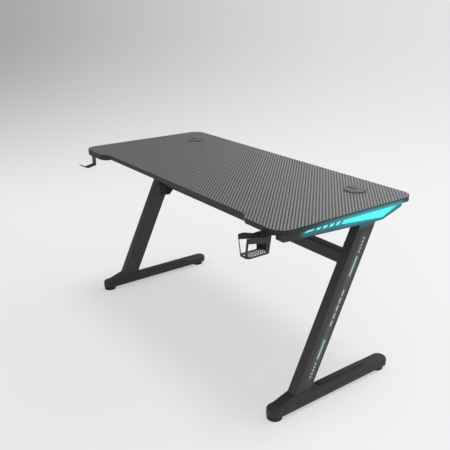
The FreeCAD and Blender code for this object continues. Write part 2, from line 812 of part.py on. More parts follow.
def make_crossbeam():
    beam = new_body("crossbeam")
    tube = new_sketch(beam, "beam_tube", "YZ_Plane")
    for inset in ("0", "beam_wall"):
        deep, tall = "(beam_depth / 2 - %s)" % inset, "(beam_height / 2 - %s)" % inset
        add_rectangle(tube, "beam_y - " + deep, "beam_y + " + deep, "beam_level - " + tall,
                      "beam_level + " + tall, "beam_round - " + inset)
    pad(beam, tube, "2 * (beam_end - plate_thickness)", both=True)
    front, rear = "beam_y - plate_front", "beam_y + plate_back"
    low, high = "beam_level - plate_below", "beam_level + plate_above"
    for hand in (-1, 1):
        name = "left" if hand < 0 else "right"
        plate = new_sketch(beam, "beam_plate_" + name, "YZ_Plane", "%d * beam_end" % hand)
        add_outline(plate, [(front, low), (rear, low), (rear, high), (front + " + plate_cut_run", high),
                            (front, high + " - plate_cut")])
        for y, z in beam_bolts:
            add_circle(plate, y, z, "beam_bolt + 2 * bolt_fit")
        pad(beam, plate, "plate_thickness", reverse=hand > 0)
        gusset = new_sketch(beam, "beam_gusset_" + name, "XZ_Plane", "-beam_y - beam_depth / 2")
        wall = "%d * (beam_end - plate_thickness)" % hand
        tip = "%d * (beam_end - plate_thickness - gusset_length)" % hand
        under = "beam_level - beam_height / 2"
        add_outline(gusset, [(wall, low), (wall, under + " + beam_round"), (tip, under + " + beam_round"),
                             (tip, under + " - gusset_nose"), (wall + " - %d * gusset_nose" % hand, low)])
        pad(beam, gusset, "gusset_thickness")


# Support arms: channels under the board, welded on the columns

def make_arm(side, hand):
    arm = new_body("support_arm_" + side, "%d * leg_x" % hand)
    section = new_sketch(arm, "arm_section_" + side, "XZ_Plane", "-arm_reach")
    low, top = "column_top", "board_bottom"
    outer, inner = "column_width / 2", "(column_width / 2 - arm_wall)"
    add_outline(section, [("-" + outer, low), ("-" + inner, low), ("-" + inner, top + " - arm_wall"),
                          (inner, top + " - arm_wall"), (inner, low), (outer, low), (outer, top),
                          ("-" + outer, top)])
    pad(arm, section, "2 * arm_reach")
    holes = new_sketch(arm, "arm_screw_holes_" + side, "XY_Plane", top)
    for y in arm_places:
        add_circle(holes, "0", y, "screw_hole")
    pocket(arm, holes, "arm_wall")
    sides = new_sketch(arm, "bar_screw_holes_arm_" + side, "YZ_Plane", "%d * column_width / 2" % hand)
    for y, z in bar_screws:
        add_circle(sides, y, z, "screw_hole")
    pocket(arm, sides, "arm_wall", reverse=hand < 0)


# Light bars: a slim housing along each end of the board, with slanted windows in its outer wall

bar_screws = [("%d * bar_screw_pitch" % step, "board_bottom - bar_screw_level") for step in (-1, 0, 1)]


# The light bar's underside from a point near the nose to the foot of its upright tail, raised by a margin
def bar_underside(start, margin):
    fall = "(nose_low - bar_low) / (bar_front + bar_low_front) * (bar_front + %s)" % start
    low, bend = "bar_low + " + margin, "bar_tail_round - " + margin
    tail = "tail_low + %s * (1 - sin(tail_angle)) / cos(tail_angle)" % margin
    return [(start, "nose_low - %s + %s" % (fall, margin)), ("bar_low_front", low),
            ("bar_low_back - %s * tan(tail_angle / 2)" % margin, low, bend), ("bar_back - " + margin, tail, bend)]


def make_windows(sketch):
    add_outline(sketch, [("-window_edge", "window_high"),
                         ("-window_edge - window_slant", "window_high - window_drop"),
                         ("window_low", "window_high - window_low_drop"), ("window_end", "window_high")])
    for step in range(1, int(size("window_count")) + 1):
        start = "(-window_edge - %d * window_pitch)" % step
        end = start + " + window_pitch - window_gap"
        drop = "(window_drop - %d * window_step)" % step
        lean = "window_slant * %s / window_drop" % drop
        low = "window_high - " + drop
        add_outline(sketch, [(start, "window_high"), ("%s - %s" % (start, lean), low),
                             ("%s - %s" % (end, lean), low), (end, "window_high")])
    drop = "(window_drop - (window_count + 1) * window_step)"
    lean = "window_slant * %s / window_drop" % drop
    low = "window_high - " + drop
    add_outline(sketch, [("last_window", "window_high"), ("last_window - " + lean, low),
                         ("last_window - window_tip", low),
                         ("last_window - window_tip + window_tip_slant", "window_high")])


def make_light_bar(side, hand):
    bar = new_body("light_housing_" + side)
    plan = new_sketch(bar, "bar_plan_" + side, "XY_Plane", "bar_low")
    near, far = "%d * bar_inner" % hand, "%d * bar_outer" % hand
    nose, rear, past = "-bar_front", "bar_back + overrun", "bar_back + 2 * overrun"
    add_outline(plan, [(near, nose, "bar_corner"), (far, nose, "bar_corner"), (far, rear), (near, rear)])
    pad(bar, plan, "bar_drop")
    under = new_sketch(bar, "bar_under_" + side, "YZ_Plane", near)
    floor, over = "bar_low - overrun", "board_bottom + overrun"
    chin, low_front, low_back, tail = bar_underside("(bar_nose_run - bar_front)", "0")
    tip = "(board_bottom - bar_nose_tip)"
    ahead = "%s + overrun / bar_nose_run * (%s - (%s))" % (tip, tip, chin[1])
    add_outline(under, [(nose + " - overrun", floor), (nose + " - overrun", ahead), chin + ("bar_nose_round",),
                        low_front, low_back, tail, ("bar_back", over), (past, over), (past, floor)])
    pocket(bar, under, "bar_outer - bar_inner", reverse=hand > 0)
    cavity = new_sketch(bar, "bar_cavity_" + side, "YZ_Plane", "%d * (bar_inner + bar_wall)" % hand)
    start, low_front, low_back, tail = bar_underside("(bar_solid - bar_front)", "bar_wall")
    add_outline(cavity, [start, low_front, low_back, tail, (tail[0], over), (start[0], over)])
    pocket(bar, cavity, "bar_outer - bar_inner - 2 * bar_wall", reverse=hand > 0)
    windows = new_sketch(bar, "bar_windows_" + side, "YZ_Plane", far)
    make_windows(windows)
    pocket(bar, windows, "bar_wall", reverse=hand < 0)
    holes = new_sketch(bar, "bar_screw_holes_" + side, "YZ_Plane", near)
    for y, z in bar_screws:
        add_circle(holes, y, z, "screw_diameter + 2 * screw_fit")
    pocket(bar, holes, "bar_wall", reverse=hand > 0)


# The lit panel fills the windows from behind and carries the tape of lights on its back

def make_bar_lights(side, hand):
    panel = new_body("bar_diffuser_" + side)
    shelf = "%d * (bar_outer - bar_wall)" % hand
    top = "(board_bottom - panel_margin)"
    start = "(last_window - window_tip - panel_border)"
    sheet_outline = new_sketch(panel, "bar_panel_" + side, "YZ_Plane", shelf)
    low_line = bar_underside(start, "(bar_wall + panel_margin)")
    add_outline(sheet_outline, low_line + [(low_line[-1][0], top), (start, top)])
    pad(panel, sheet_outline, "panel_thickness", reverse=hand > 0)
    lands = new_sketch(panel, "bar_lands_" + side, "YZ_Plane", shelf)
    make_windows(lands)
    pad(panel, lands, "bar_wall", reverse=hand < 0)
    leds = new_body("bar_led_strip_" + side)
    back = "%d * (bar_outer - bar_wall - panel_thickness)" % hand
    tape = new_sketch(leds, "bar_led_tape_" + side, "YZ_Plane", back)
    add_rectangle(tape, start, "window_end - bar_led_height", "window_high - bar_led_height", "window_high")
    pad(leds, tape, "bar_led_thickness", reverse=hand > 0)


# Cup holder: a tapering sheet-metal box with a raised front, open sides, a gap for a handle and a grid floor

def cup_section(sketch, inset):
    wide, deep = "(cup_width / 2 - %s)" % inset, "(cup_length / 2 - %s)" % inset
    add_rectangle(sketch, "-" + wide, wide, "-" + deep, deep, "cup_round")


def cup_loft(cup, kind, name, inset):
    low = new_sketch(cup, name + "_low", "XY_Plane", "board_bottom - cup_height")
    cup_section(low, "(cup_taper + %s)" % inset)
    high = new_sketch(cup, name + "_high", "XY_Plane", "board_bottom + cup_raise")
    cup_section(high, inset)
    loft = cup.newObject("PartDesign::" + kind, name)
    loft.Profile = low
    loft.Sections = [high]
    loft.Ruled = True
    cup.Tip = loft
    doc.recompute()


def make_cup_holder():
    top, low, crest = "board_bottom", "(board_bottom - cup_height)", "board_bottom + cup_raise"
    front, back = "-cup_length / 2", "cup_length / 2"
    cup = new_body("cup_holder", "cup_x", "-cup_reach")
    cup_loft(cup, "AdditiveLoft", "cup_outside", "0")
    cup_loft(cup, "SubtractiveLoft", "cup_inside", "cup_wall")
    edge = new_sketch(cup, "cup_top_edge", "YZ_Plane")
    add_outline(edge, [(front + " + cup_crest", crest), (back + " - cup_dip_back", top + " - cup_dip"),
                       (back + " + overrun", top), (back + " + overrun", crest + " + overrun"),
                       (front + " + cup_crest", crest + " + overrun")])
    pocket(cup, edge, "cup_width + overrun", both=True)
    ring = new_sketch(cup, "cup_bottom_ring", "XY_Plane", low)
    cup_section(ring, "cup_taper")
    cup_section(ring, "(cup_taper + cup_ring)")
    pad(cup, ring, "cup_ring_height")
    sides = new_sketch(cup, "cup_sides", "YZ_Plane")
    start, stop = front + " + cup_post", back + " - cup_side_back"
    add_outline(sides, [(start, low + " + cup_rim"), (stop, low + " + cup_rim"),
                        (stop, top + " - cup_side_back_drop"), (start, top + " - cup_side_front_drop")])
    pocket(cup, sides, "cup_width + overrun", both=True)
    handle = new_sketch(cup, "cup_handle_gap", "XZ_Plane", back)
    add_outline(handle, [("-cup_front_low / 2", low + " + cup_rim"), ("cup_front_low / 2", low + " + cup_rim"),
                         ("cup_front_top / 2", crest), ("-cup_front_top / 2", crest)])
    pocket(cup, handle, "cup_length / 2")
    flange = new_sketch(cup, "cup_flange", "XY_Plane", top)
    add_rectangle(flange, "-cup_flange_width / 2", "cup_flange_width / 2", back + " - cup_wall",
                  back + " + cup_flange_length")
    for x, y in cup_screws:
        add_circle(flange, x + " - cup_x", y + " + cup_reach", "screw_hole")
    pad(cup, flange, "cup_flange_thickness", reverse=True)
    grid = new_body("cup_holder_floor", "cup_x", "-cup_reach", low + " + cup_ring_height")
    inset = "(cup_taper + cup_wall + grid_fit)"
    hoop = new_sketch(grid, "grid_hoop", "XY_Plane")
    cup_section(hoop, inset)
    cup_section(hoop, "(%s + grid_ring)" % inset)
    pad(grid, hoop, "grid_thickness")
    wide, deep = ("(%s / 2 - %s - grid_ring / 2)" % (span, inset) for span in ("cup_width", "cup_length"))
    rows = new_sketch(grid, "grid_rows", "XY_Plane")
    columns = new_sketch(grid, "grid_columns", "XY_Plane")
    for step in range(int(size("grid_row_count"))):
        middle = "(%d - (grid_row_count - 1) / 2) * grid_pitch" % step
        add_rectangle(rows, "-" + wide, wide, middle + " - grid_bar / 2", middle + " + grid_bar / 2")
    for step in range(int(size("grid_column_count"))):
        middle = "(%d - (grid_column_count - 1) / 2) * grid_pitch" % step
        add_rectangle(columns, middle + " - grid_bar / 2", middle + " + grid_bar / 2", "-" + deep, deep)
    pad(grid, rows, "grid_thickness")
    pad(grid, columns, "grid_thickness")


# Headphone hook: a plate under the board's lobe and a flat strip welded on its front, bent forward and up

def make_hook():
    hook = new_body("headphone_hook", "-hook_x", "-hook_y")
    top, low = "board_bottom", "(board_bottom - hook_drop)"
    steep = "(recess_depth / recess_run)"
    turn = "hook_x - recess_reach - recess_run - hook_set * tan(atan(%s) / 2)" % steep
    stop = "hook_x - recess_reach - hook_plate_stop"
    stop_front = "(recess_run - hook_plate_stop) * %s + hook_set * (sqrt(1 + %s^2) - 1)" % (steep, steep)
    plate = new_sketch(hook, "hook_plate", "XY_Plane", top)
    add_outline(plate, [("-hook_width / 2", "0"), (turn, "0"), (stop, stop_front), (stop, "hook_plate_depth"),
                        ("-hook_width / 2", "hook_plate_depth")])
    for x, y in hook_screws:
        add_circle(plate, x + " + hook_x", y + " + hook_y", "screw_hole")
    pad(hook, plate, "hook_plate", reverse=True)
    fall, rise = "atan(hook_dip / hook_reach)", "atan(hook_tip_rise / hook_tip_run)"
    lean, half = "((%s - %s) / 2)" % (rise, fall), "((%s + %s) / 2)" % (rise, fall)
    elbow, tip = "(%s + hook_thickness - hook_dip)" % low, "(-hook_reach - hook_tip_run)"
    heel = "hook_thickness * (1 - cos(%s) + (1 - sin(%s)) * tan(%s))" % (fall, fall, fall)
    inner, outer = "hook_bend", "hook_bend + hook_thickness"
    strip = new_sketch(hook, "hook_strip", "YZ_Plane")
    add_outline(strip, [("0", top), ("0", low + " + hook_thickness", inner), ("-hook_reach", elbow, inner),
                        (tip, elbow + " + hook_tip_rise"),
                        (tip + " - hook_thickness * sin(%s)" % rise,
                         "%s + hook_tip_rise - hook_thickness * cos(%s)" % (elbow, rise)),
                        ("-hook_reach - hook_thickness * sin(%s) / cos(%s)" % (lean, half),
                         "%s - hook_thickness * cos(%s) / cos(%s)" % (elbow, lean, half), outer),
                        ("hook_thickness", "%s + %s" % (low, heel), outer), ("hook_thickness", top)])
    pad(hook, strip, "hook_width", both=True)


# Light controller under the board: a case with ears, its cover, circuit board, push button and power inlet

def make_controller():
    top, low = "board_bottom", "(board_bottom - case_height)"
    long, wide = "(case_length / 2)", "(case_width / 2)"
    inner_long, inner_wide = "(case_length / 2 - case_wall)", "(case_width / 2 - case_wall)"
    case = new_body("controller_case", "case_x", "case_y")
    shell = new_sketch(case, "case_shell", "XY_Plane", low)
    add_rectangle(shell, "-" + long, long, "-" + wide, wide, "case_round")
    pad(case, shell, "case_height")
    cavity = new_sketch(case, "case_cavity", "XY_Plane", low)
    add_rectangle(cavity, "-" + inner_long, inner_long, "-" + inner_wide, inner_wide)
    pocket(case, cavity, "case_height - case_wall", reverse=True)
    bosses = new_sketch(case, "case_bosses", "XY_Plane", low + " + cover_thickness")
    for x_hand in (-1, 1):
        for y_hand in (-1, 1):
            x_wall, y_wall = "%d * %s" % (x_hand, inner_long), "%d * %s" % (y_hand, inner_wide)
            add_rectangle(bosses, x_wall + " - %d * boss_size" % x_hand, x_wall,
                          y_wall + " - %d * boss_size" % y_hand, y_wall)
    pad(case, bosses, "case_height - case_wall - cover_thickness")
    ribs = new_sketch(case, "case_ribs", "XY_Plane", top + " - case_wall")
    for hand in (-1, 1):
        rib = "%d * (%s - 2 * boss_size)" % (hand, inner_long)
        add_rectangle(ribs, rib + " - case_wall / 2", rib + " + case_wall / 2", "-" + inner_wide, inner_wide)
    pad(case, ribs, "circuit_drop", reverse=True)
    ears = new_sketch(case, "case_ears", "XY_Plane", top)
    for hand in (-1, 1):
        add_rectangle(ears, "%d * (%s - case_wall)" % (hand, long), "%d * (%s + ear_length)" % (hand, long),
                      "-ear_width / 2", "ear_width / 2")
    pad(case, ears, "ear_thickness", reverse=True)
    holes = new_sketch(case, "ear_holes", "XY_Plane", top)
    for x, y in case_screws:
        add_circle(holes, x + " - case_x", y + " - case_y", "screw_hole")
    pocket(case, holes, "ear_thickness")
    inlet = new_sketch(case, "inlet_hole", "XZ_Plane", "-" + wide)
    jack_z = "(board_bottom - jack_level)"
    add_circle(inlet, "jack_x", jack_z, "jack_diameter + 2 * jack_fit")
    pocket(case, inlet, "case_wall", reverse=True)
    cover = new_body("controller_cover", "case_x", "case_y")
    plate = new_sketch(cover, "cover_plate", "XY_Plane", low)
    add_rectangle(plate, "cover_fit - " + inner_long, inner_long + " - cover_fit", "cover_fit - " + inner_wide,
                  inner_wide + " - cover_fit")
    add_circle(plate, "button_x", "0", "button_diameter + 2 * button_gap")
    pad(cover, plate, "cover_thickness")
    button = new_body("mode_button", "case_x + button_x", "case_y", low)
    section = new_sketch(button, "button_section", "XZ_Plane")
    seat = "(cover_thickness + button_gap)"
    stem_top = "(%s + button_flange_height + button_stem)" % seat
    add_outline(section, [("0", "-button_proud"), ("button_diameter / 2", "-button_proud"),
                          ("button_diameter / 2", seat), ("button_flange / 2", seat),
                          ("button_flange / 2", seat + " + button_flange_height"),
                          ("button_stem_diameter / 2", seat + " + button_flange_height"),
                          ("button_stem_diameter / 2", stem_top), ("0", stem_top)])
    revolve(button, section)
    circuit = new_body("circuit_board", "case_x", "case_y")
    card_low = "(board_bottom - case_wall - circuit_drop - circuit_thickness)"
    card = new_sketch(circuit, "circuit_card", "XY_Plane", card_low)
    half_long = "(%s - boss_size - circuit_gap)" % inner_long
    half_wide = "(%s - circuit_gap)" % inner_wide
    add_rectangle(card, "-" + half_long, half_long, "-" + half_wide, half_wide)
    pad(circuit, card, "circuit_thickness")
    switch = new_sketch(circuit, "tact_switch", "XY_Plane", card_low)
    add_rectangle(switch, "button_x - switch_size / 2", "button_x + switch_size / 2", "-switch_size / 2",
                  "switch_size / 2")
    pad(circuit, switch, "%s - %s - %s - button_travel - button_gap" % (card_low, low, stem_top), reverse=True)
    jack = new_body("power_inlet", "case_x + jack_x", "case_y + " + wide, jack_z)
    barrel = new_sketch(jack, "jack_barrel", "XZ_Plane")
    add_circle(barrel, "0", "0", "jack_diameter")
    pad(jack, barrel, "jack_length")
    collar = new_sketch(jack, "jack_collar", "XZ_Plane")
    add_circle(collar, "0", "0", "jack_flange")
    pad(jack, collar, "jack_flange_height", reverse=True)
    bore = new_sketch(jack, "jack_bore_hole", "XZ_Plane", "-jack_flange_height")
    add_circle(bore, "0", "0", "jack_bore")
    pocket(jack, bore, "jack_length", reverse=True)


def make_fasteners():
    for label, spots, clamp in (("desktop_screws", arm_screws, "arm_wall"),
                                ("cup_holder_screws", cup_screws, "cup_flange_thickness"),
                                ("hook_screws", hook_screws, "hook_plate"),
                                ("controller_screws", case_screws, "ear_thickness")):
        screw = make_fastener(label + "_master", "screw_head", "screw_head_height", "screw_head_edge",
                              "screw_diameter", clamp + " + screw_bite")
        add_group(label, [(screw, [(x, y, "board_bottom - " + clamp) for x, y in spots])])
    bolt = make_fastener("foot_bolt_master", "foot_bolt_head", "foot_bolt_head_height", "bolt_head_edge",
                         "foot_bolt", "foot_web + column_floor")
    stances = [("%d * leg_x" % hand, "column_foot_y + %d * foot_bolt_pitch / 2" % step, "foot_top - foot_web")
               for hand in (-1, 1) for step in (-1, 1)]
    add_group("foot_bolts", [(bolt, stances)])
    beam_sets, bar_sets = [], []
    for hand, name in ((-1, "left"), (1, "right")):
        bolt = make_fastener("beam_bolt_master_" + name, "beam_bolt_head", "beam_bolt_head_height",
                             "bolt_head_edge", "beam_bolt",
                             "plate_thickness + column_wall + beam_bolt_tail", hand)
        seat = "%d * (beam_end - plate_thickness)" % hand
        beam_sets.append((bolt, [(seat, y, z) for y, z in beam_bolts]))
        screw = make_fastener("bar_screw_master_" + name, "screw_head", "screw_head_height", "screw_head_edge",
                              "screw_diameter", "arm_wall + bar_screw_bite", hand)
        seat = "%d * (bar_inner - arm_wall)" % hand
        bar_sets.append((screw, [(seat, y, z) for y, z in bar_screws]))
    add_group("beam_bolts", beam_sets)
    add_group("housing_screws", bar_sets)


for side, hand in (("left", -1), ("right", 1)):
    make_grommet(side, hand)
    make_column(side, hand)
    make_column_lights(side, hand)
    make_foot(side, hand)
    make_levellers(side, hand)
    make_arm(side, hand)
    make_light_bar(side, hand)
    make_bar_lights(side, hand)
make_crossbeam()
make_cup_holder()
make_hook()
make_controller()
make_fasteners()

# Every feature has to be sound before anything is written
for thing in doc.Objects:
    if "Invalid" in thing.State or "Error" in thing.State:
        raise RuntimeError("%s failed" % thing.Label)
for piece in pieces:
    if piece.Shape.isNull() or not piece.Shape.isValid():
        raise RuntimeError("%s has no sound shape" % piece.Label)

os.makedirs("parts", exist_ok=True)
for piece in pieces:
    piece.Shape.exportStep("parts/%s.step" % piece.Label)
    print(piece.Label, len(piece.Shape.Solids), round(piece.Shape.Volume / 1000, 1), "cm3")
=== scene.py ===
import math
import bpy
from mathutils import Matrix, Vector


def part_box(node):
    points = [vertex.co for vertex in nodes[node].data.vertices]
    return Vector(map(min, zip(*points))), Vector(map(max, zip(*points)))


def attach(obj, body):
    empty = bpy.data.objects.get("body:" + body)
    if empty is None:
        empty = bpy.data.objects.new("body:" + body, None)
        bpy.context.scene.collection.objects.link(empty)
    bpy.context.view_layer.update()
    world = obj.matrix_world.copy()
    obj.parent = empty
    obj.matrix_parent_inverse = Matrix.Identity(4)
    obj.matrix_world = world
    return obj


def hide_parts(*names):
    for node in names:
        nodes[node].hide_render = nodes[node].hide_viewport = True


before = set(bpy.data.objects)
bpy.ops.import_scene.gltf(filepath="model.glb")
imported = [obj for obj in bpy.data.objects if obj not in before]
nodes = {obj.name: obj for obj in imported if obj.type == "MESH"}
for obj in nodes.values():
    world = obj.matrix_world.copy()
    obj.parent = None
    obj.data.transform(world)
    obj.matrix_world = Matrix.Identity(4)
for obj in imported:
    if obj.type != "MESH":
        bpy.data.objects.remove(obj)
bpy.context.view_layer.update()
scene = bpy.context.scene
print("frame loaded:", len(nodes), "nodes")


# A socket that takes part in plain arithmetic; every other node comes from node()
class Wire:
    def __init__(self, tree, socket=None):
        self.tree = tree
        self.socket = socket

    def node(self, kind, settings=None, inputs=None, out=0):
        made = self.tree.nodes.new(kind)
        for name, value in (settings or {}).items():
            if name == "stops":
                for index, (spot, tone) in enumerate(value):
                    elements = made.color_ramp.elements
                    stop = elements[index] if index < len(elements) else elements.new(spot)
                    stop.position = spot
                    stop.color = (tone, tone, tone, 1)
            else:
                setattr(made, name, value)
        for name, value in (inputs or {}).items():
            if isinstance(value, Wire):
                self.tree.links.new(value.socket, made.inputs[name])
            else:
                made.inputs[name].default_value = value
        return Wire(self.tree, made.outputs[out])

    def maths(self, operation, *terms):
        return self.node("ShaderNodeMath", {"operation": operation}, dict(enumerate(terms)))

    def vector(self, operation, other=(0, 0, 0), out=0):
        return self.node("ShaderNodeVectorMath", {"operation": operation}, {0: self, 1: other}, out)

    def __add__(self, other):
        return self.maths("ADD", self, other)

    def __sub__(self, other):
        return self.maths("SUBTRACT", self, other)

    def __rsub__(self, other):
        return self.maths("SUBTRACT", other, self)

    def __mul__(self, other):
        return self.maths("MULTIPLY", self, other)

    def __truediv__(self, other):
        return self.maths("DIVIDE", self, other)

    def __rtruediv__(self, other):
        return self.maths("DIVIDE", other, self)

    def __mod__(self, other):
        return self.maths("FLOORED_MODULO", self, other)

    def __lt__(self, other):
        return self.maths("LESS_THAN", self, other)

    def __gt__(self, other):
        return self.maths("GREATER_THAN", self, other)

    __radd__ = __add__
    __rmul__ = __mul__

    def floor(self):
        return self.maths("FLOOR", self)

    def part(self):
        return self.maths("FRACT", self)

    def size(self):
        return self.maths("ABSOLUTE", self)

    def above(self, other):
        return self.maths("MAXIMUM", self, other)

    def clip(self):
        return self.node("ShaderNodeClamp", None, {0: self})

    def fade(self, low, high):
        return self.node("ShaderNodeMapRange", {"interpolation_type": "SMOOTHSTEP"},
                         {0: self, 1: low, 2: high})

    def ramp(self, stops):
        return self.node("ShaderNodeValToRGB", {"stops": stops}, {0: self})

    def between(self, first, second):
        return self.node("ShaderNodeMix", {"data_type": "RGBA"},
                         {0: self, 6: rgba(first), 7: rgba(second)}, 2)

    def along(self, direction):
        return self.vector("DOT_PRODUCT", direction, 1)

    def xyz(self):
        split = self.node("ShaderNodeSeparateXYZ", None, {0: self}).socket.node
        return [Wire(self.tree, output) for output in split.outputs]


def rgba(colour):
    return colour if isinstance(colour, Wire) else (*colour, 1)


def grey(tone):
    return (tone, tone, tone)


def shade(colour, amount):
    return tuple(channel * amount for channel in colour)


black = grey(0)


# A new material with its Principled shader: a wire to build from, object coordinates and a finishing call
def newFinish(name):
    material = bpy.data.materials.new(name)
    material.use_nodes = True
    tree = material.node_tree
    shader = tree.nodes["Principled BSDF"]

    def finishWith(**sockets):
        for label, value in sockets.items():
            socket = shader.inputs[label.replace("_", " ")]
            if isinstance(value, Wire):
                tree.links.new(value.socket, socket)
            else:
                socket.default_value = value
        return material

    wire = Wire(tree)
    spot = wire.node("ShaderNodeTexCoord", out="Object")
    return wire, spot, finishWith


def grain(wire, spot, scale, detail, roughness=0.5):
    return wire.node("ShaderNodeTexNoise", None,
                     {"Vector": spot, "Scale": scale, "Detail": detail, "Roughness": roughness})


def bump(wire, height, depth, strength):
    return wire.node("ShaderNodeBump", None, {"Strength": strength, "Distance": depth, "Height": height})


def dress(material, *names):
    for name in names:
        nodes[name].data.materials.clear()
        nodes[name].data.materials.append(material)


def bothSides(*stems):
    return [stem + "_" + side for stem in stems for side in ("left", "right")]


# Camera
view = {"spot": (2.0005, -1.4415, 1.4006), "forward": (-0.7548, 0.5563, -0.3476),
        "right": (0.5931, 0.8051, 0.0), "lens": 49.3, "sensor": 36}
bpy.ops.object.camera_add(location=view["spot"])
camera = bpy.context.object
camera.rotation_euler = Vector(view["forward"]).to_track_quat("-Z", "Y").to_euler()
camera.data.lens = view["lens"]
camera.data.sensor_width = view["sensor"]
scene.camera = camera
print("camera placed")

# Pale floor that fades into a soft grey backdrop, with ramps from the left of the view to its right
# Seen directly it is part paper, part even tone, so the shadow is soft
paper = {"reach": 400, "drop": 0.0002, "spread": 0.36, "nearness": (0.03, 0.24), "even": 0.55,
         "near": [(0.0, 0.83), (0.5, 0.86), (1.0, 0.90)],
         "far": [(0.0, 0.356), (0.1, 0.407), (0.26, 0.497), (0.5, 0.617), (0.74, 0.716), (1.0, 0.775)]}


def acrossView(sideways):
    return sideways / (2 * paper["spread"]) + 0.5


bpy.ops.mesh.primitive_plane_add(size=paper["reach"], location=(0, 0, -paper["drop"]))
floor = bpy.context.object
floor.name = "studio_floor"
wire, spot, finishWith = newFinish("floorPaper")
away = wire.node("ShaderNodeNewGeometry", out="Position").vector("SUBTRACT", (*view["spot"][:2], 0))
distance = away.vector("LENGTH", out=1)
sideways = acrossView(away.along(view["right"]) / distance)
nearShare = (1 / distance).fade(*paper["nearness"])
floorTone = nearShare.between(sideways.ramp(paper["far"]), sideways.ramp(paper["near"]))
floor.data.materials.append(finishWith(Base_Color=floorTone, Roughness=1.0, Specular_IOR_Level=0.0))
direct, mirrored, through = [wire.node("ShaderNodeLightPath", out="Is %s Ray" % kind)
                             for kind in ("Camera", "Glossy", "Transmission")]
seen = (direct + mirrored + through).clip() * paper["even"]
lit = Wire(wire.tree, wire.tree.nodes["Principled BSDF"].outputs[0])
even = wire.node("ShaderNodeEmission", None, {"Color": floorTone, "Strength": 1.0})
both = wire.node("ShaderNodeMixShader", None, {0: seen, 1: lit, 2: even})
wire.tree.links.new(both.socket, wire.tree.nodes["Material Output"].inputs["Surface"])

# World with a backdrop ahead that is dim at its left and bright at its right,
# one broad lamp overhead and one from the back
air = {"left": 0.08, "right": 1.1, "behind": 0.62, "over": 0.58,
       "sideFade": (-0.12, 0.3), "aheadFade": (0.3, 0.8), "overFade": (0.3, 0.85), "lampSpot": (3, 0, 3),
       "lamps": [{"energy": 1.05, "angle": 24, "from": (0.05, 0.16, 1.0)},
                 {"energy": 0.6, "angle": 50, "from": (0.25, 1.0, 0.7)}]}
scene.world = bpy.data.worlds.new("studioWorld")
scene.world.use_nodes = True
sky = Wire(scene.world.node_tree)
look = sky.node("ShaderNodeTexCoord", out="Generated")
toRight = look.along(view["right"])
ahead = toRight.fade(*air["sideFade"]).between(grey(air["left"]), grey(air["right"]))
around = look.along(view["forward"]).fade(*air["aheadFade"]).between(grey(air["behind"]), ahead)
light = look.along((0, 0, 1)).fade(*air["overFade"]).between(around, grey(air["over"]))
ends = acrossView(toRight).ramp(paper["far"])  # seen directly, the sky carries on the far floor's tone
skyTone = sky.node("ShaderNodeLightPath", out="Is Camera Ray").between(light, ends)
backdrop = scene.world.node_tree.nodes["Background"]
scene.world.node_tree.links.new(skyTone.socket, backdrop.inputs["Color"])
backdrop.inputs["Strength"].default_value = 1.0
for lamp in air["lamps"]:
    bpy.ops.object.light_add(type="SUN", location=air["lampSpot"])
    sun = bpy.context.object
    sun.data.energy = lamp["energy"]
    sun.data.angle = math.radians(lamp["angle"])
    sun.rotation_euler = Vector(lamp["from"]).to_track_quat("Z", "Y").to_euler()
scene.view_settings.view_transform = "Standard"
print("stage set")

# Worktop laminate: a two-over, two-under weave with crowned tows; the warp tows are painted pale and the
# weft tows dark as painted sheen, and each tow is painted darker into the valleys between tows
weave = {"tow": 0.00387, "over": 2, "warpSheen": (0.262, 0.262, 0.264), "weftShade": (0.016, 0.016, 0.017),
         "valleyShade": (0.006, 0.006, 0.0065), "towEdge": (0.0, 0.35), "endDip": 0.75,
         "fibre": 2600, "fibreStretch": 0.03, "fibreTone": 0.5, "fibreHigh": 0.12, "depth": 0.0006,
         "bump": 0.5, "roughness": 0.36, "fibreDull": 0.12, "crownShine": 0.06, "specular": 0.45}


def weaveFinish():
    wire, spot, finishWith = newFinish("wovenLaminate")
    x, y, _ = spot.xyz()
    across, along = x / weave["tow"], y / weave["tow"]
    turn = (across.floor() + along.floor()) % (2 * weave["over"])
    onWarp = turn < weave["over"]
    onWeft = 1 - onWarp
    u, v = across.part(), along.part()
    warpRun, weftRun = (turn + v) / weave["over"], (turn - weave["over"] + u) / weave["over"]
    run = warpRun * onWarp + weftRun * onWeft
    width = u * onWarp + v * onWeft
    side = (width * 2 - 1).size()
    end = (run * 2 - 1).size()
    crown = (1 - side * side) * (1 - end * end * end * weave["endDip"])
    warpFibres = grain(wire, spot.vector("MULTIPLY", (1, weave["fibreStretch"], 1)), weave["fibre"], 2)
    weftFibres = grain(wire, spot.vector("MULTIPLY", (weave["fibreStretch"], 1, 1)), weave["fibre"], 2)
    fibres = warpFibres * onWarp + weftFibres * onWeft
    # painted sheen: warp tows pale and weft tows dark, as light falls along the tows
    towSheen = onWarp.between(weave["weftShade"], weave["warpSheen"])
    # painted shade: each tow darkens towards its edges and ends, into the valleys
    lit = (crown.fade(*weave["towEdge"]) * ((fibres - 0.5) * weave["fibreTone"] + 1)).clip()
    shine = weave["roughness"] + fibres * weave["fibreDull"] - crown * weave["crownShine"]
    relief = crown + fibres * weave["fibreHigh"]
    return finishWith(Base_Color=lit.between(weave["valleyShade"], towSheen), Roughness=shine,
                      Specular_IOR_Level=weave["specular"],
                      Normal=bump(wire, relief, weave["depth"], weave["bump"]))


dress(weaveFinish(), "carbon_laminate")
print("weave laid")

# Fine matte coating or moulded plastic, a little smoother where edges are rubbed and paler there, partly
# wear and partly a painted edge highlight
coat = {"cloud": 6, "dark": 0.8, "pale": 1.2, "crisp": 0.7, "edgeGain": 4, "edgeEven": 0.7, "edgeSpeck": 0.6,
        "edgeSamples": 4, "depth": 0.00012, "bump": 0.5, "speckHigh": 0.4, "speckDull": 0.14,
        "rubShine": 0.1, "specular": 0.4}


